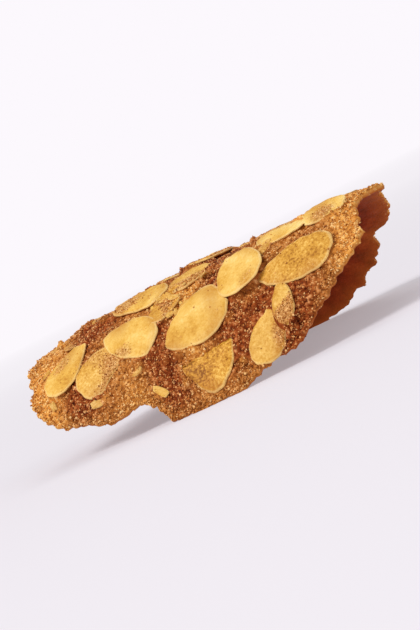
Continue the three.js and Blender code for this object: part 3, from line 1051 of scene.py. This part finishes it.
def add_mesh(name, material, points, triangles, painted, places, smooth=True):
    mesh = bpy.data.meshes.new(name)
    mesh.from_pydata(points, [], triangles)
    bake_map = mesh.uv_layers.new(name=BAKE_MAP)
    bake_map.data.foreach_set("uv", places.astype(np.float32).ravel())
    for key, values in painted.items():
        layer = mesh.attributes.new(key, "FLOAT", "POINT")
        layer.data.foreach_set("value", values.astype(np.float32))
    mesh.polygons.foreach_set("use_smooth", np.full(len(mesh.polygons), smooth))
    mesh.materials.append(material)
    mesh.update()
    piece = bpy.data.objects.new(name, mesh)
    bpy.context.scene.collection.objects.link(piece)
    return piece


rng = np.random.default_rng(RANDOM_SEED)
almonds = almond_material()
crust = add_mesh("crust", crust_material(), *crust_parts())
flakes = add_mesh("almond_flakes", almonds, *joined([flake_parts(f) for f in FLAKES]))
splinters = add_mesh("almond_splinters", almonds, *joined(splinter_parts(rng)))
sugar = crystal_material()
crystals = add_mesh("crust_crystals", sugar, *crystal_parts(rng, *crust_crystals(rng)), smooth=False)
grains = add_mesh("almond_grains", sugar, *crystal_parts(rng, *flake_crystals(rng)), smooth=False)

slots = {crust: "biscuit", flakes: "almond", splinters: "almond", crystals: "biscuit", grains: "biscuit"}
for piece, slot in slots.items():
    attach(piece, "root")
    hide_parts("tuile")


# Surroundings


def backward(azimuth, elevation):
    """Direction from the part towards a light or the camera."""
    a, e = math.radians(azimuth), math.radians(elevation)
    return Vector((math.sin(a) * math.cos(e), -math.cos(a) * math.cos(e), math.sin(e)))


def make_floor(backdrop):
    theta = FULL_TURN * np.arange(FLOOR_SIDES) / FLOOR_SIDES
    ring = np.stack((np.cos(theta), np.sin(theta), 0 * theta), -1) * FLOOR_RADIUS
    mesh = bpy.data.meshes.new("floor")
    mesh.from_pydata(ring, [], [list(range(FLOOR_SIDES))])
    mesh.materials.append(floor_material(backdrop))
    floor = bpy.data.objects.new("floor", mesh)
    bpy.context.scene.collection.objects.link(floor)


def make_world(backdrop):
    """A bright backdrop that lights the part a little less than it shows."""
    world = bpy.data.worlds.new("studio")
    bpy.context.scene.world = world
    world.use_nodes = True
    tree = world.node_tree
    shown = tree.nodes["Background"]
    shown.inputs["Color"].default_value = backdrop
    shown.inputs["Strength"].default_value = 1.0
    lighting = tree.nodes.new("ShaderNodeBackground")
    lighting.inputs["Color"].default_value = backdrop
    lighting.inputs["Strength"].default_value = WORLD_STRENGTH
    rays = tree.nodes.new("ShaderNodeLightPath")
    blend = tree.nodes.new("ShaderNodeMixShader")
    tree.links.new(rays.outputs["Is Camera Ray"], blend.inputs[0])
    tree.links.new(lighting.outputs[0], blend.inputs[1])
    tree.links.new(shown.outputs[0], blend.inputs[2])
    tree.links.new(blend.outputs[0], tree.nodes["World Output"].inputs["Surface"])


def make_light(target, name, azimuth, elevation, distance, size, power):
    back = backward(azimuth, elevation)
    data = bpy.data.lights.new(name, "AREA")
    data.shape = "DISK"
    data.size = size
    data.energy = power
    light = bpy.data.objects.new(name, data)
    light.location = target + back * distance
    light.rotation_euler = (-back).to_track_quat("-Z", "Y").to_euler()
    bpy.context.scene.collection.objects.link(light)


def make_camera(target):
    back = backward(VIEW_AZIMUTH, VIEW_ELEVATION)
    data = bpy.data.cameras.new("camera")
    data.lens = VIEW_LENS
    data.shift_x = VIEW_SHIFT
    data.clip_start, data.clip_end = VIEW_CLIP
    half_width = math.atan(data.sensor_width / 2 / data.lens * IMAGE_SIZE[0] / IMAGE_SIZE[1])
    camera = bpy.data.objects.new("camera", data)
    camera.location = target + back * (VIEW_WIDTH / 2 / math.tan(half_width))
    aim = (-back).to_track_quat("-Z", "Y")
    camera.rotation_mode = "QUATERNION"
    camera.rotation_quaternion = aim @ Quaternion((0, 0, 1), math.radians(-VIEW_ROLL))
    bpy.context.scene.collection.objects.link(camera)
    bpy.context.scene.camera = camera


centre = (cad_low + cad_high) / 2
backdrop = srgb(*BACKDROP_COLOUR)
make_floor(backdrop)
make_world(backdrop)
for light in LIGHTS:
    make_light(centre, **light)
make_camera(centre)
bpy.context.scene.view_settings.view_transform = "Standard"
